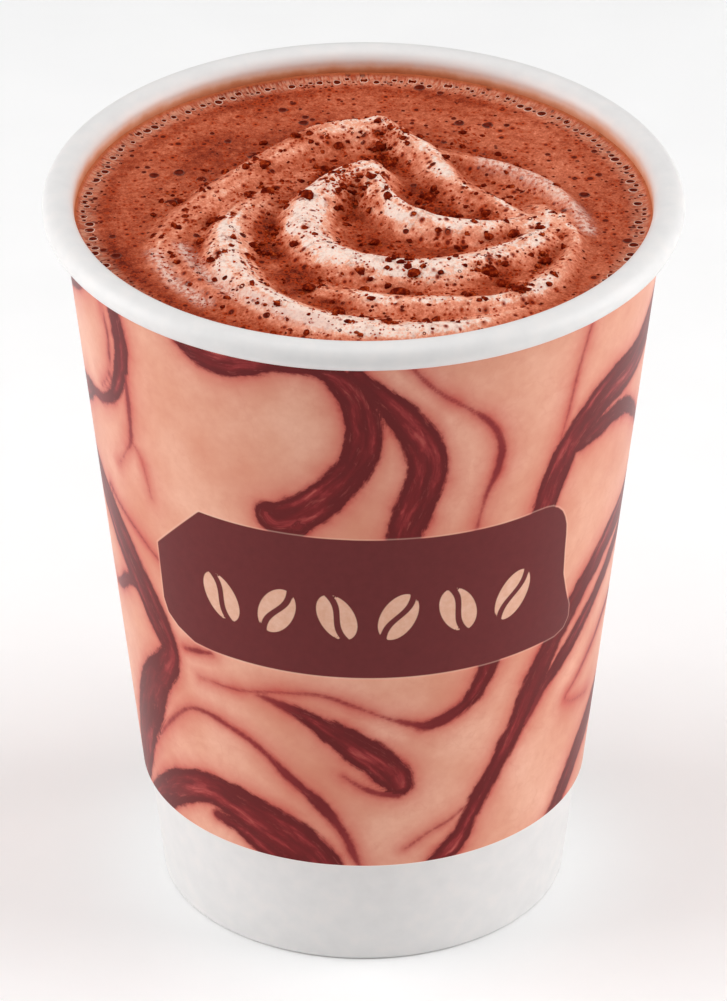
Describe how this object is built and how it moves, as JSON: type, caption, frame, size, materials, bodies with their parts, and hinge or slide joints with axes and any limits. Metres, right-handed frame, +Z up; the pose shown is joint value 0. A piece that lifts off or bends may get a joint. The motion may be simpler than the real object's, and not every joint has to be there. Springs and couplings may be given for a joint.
{
  "type": "filled takeaway cup of hot chocolate",
  "caption": "Double-wall paper cup with a rolled rim and a printed sleeve, filled nearly to the brim with hot chocolate under a folded cream swirl.",
  "frame": {"origin": "middle of the foot, on the surface that the cup stands on", "axes": "+Z up along the cup's axis; -Y is the front, with the panel on the sleeve; +X to the right seen from the front"},
  "size_m": [0.09, 0.09, 0.1095],
  "materials": {
    "cup_board": "white paperboard with a smooth satin plastic lining",
    "printed_card": "printed paper card, satin, peach ground with dark red marbling",
    "hot_chocolate": "opaque milky drink with fine froth",
    "cream": "soft whipped cream stained by the drink, dusted with cocoa"
  },
  "bodies": {
    "root": {"cup_wall": "cup_board", "cup_bottom": "cup_board", "sleeve": "printed_card", "drink": "hot_chocolate", "cream_swirl": "cream"}
  },
  "joints": []
}
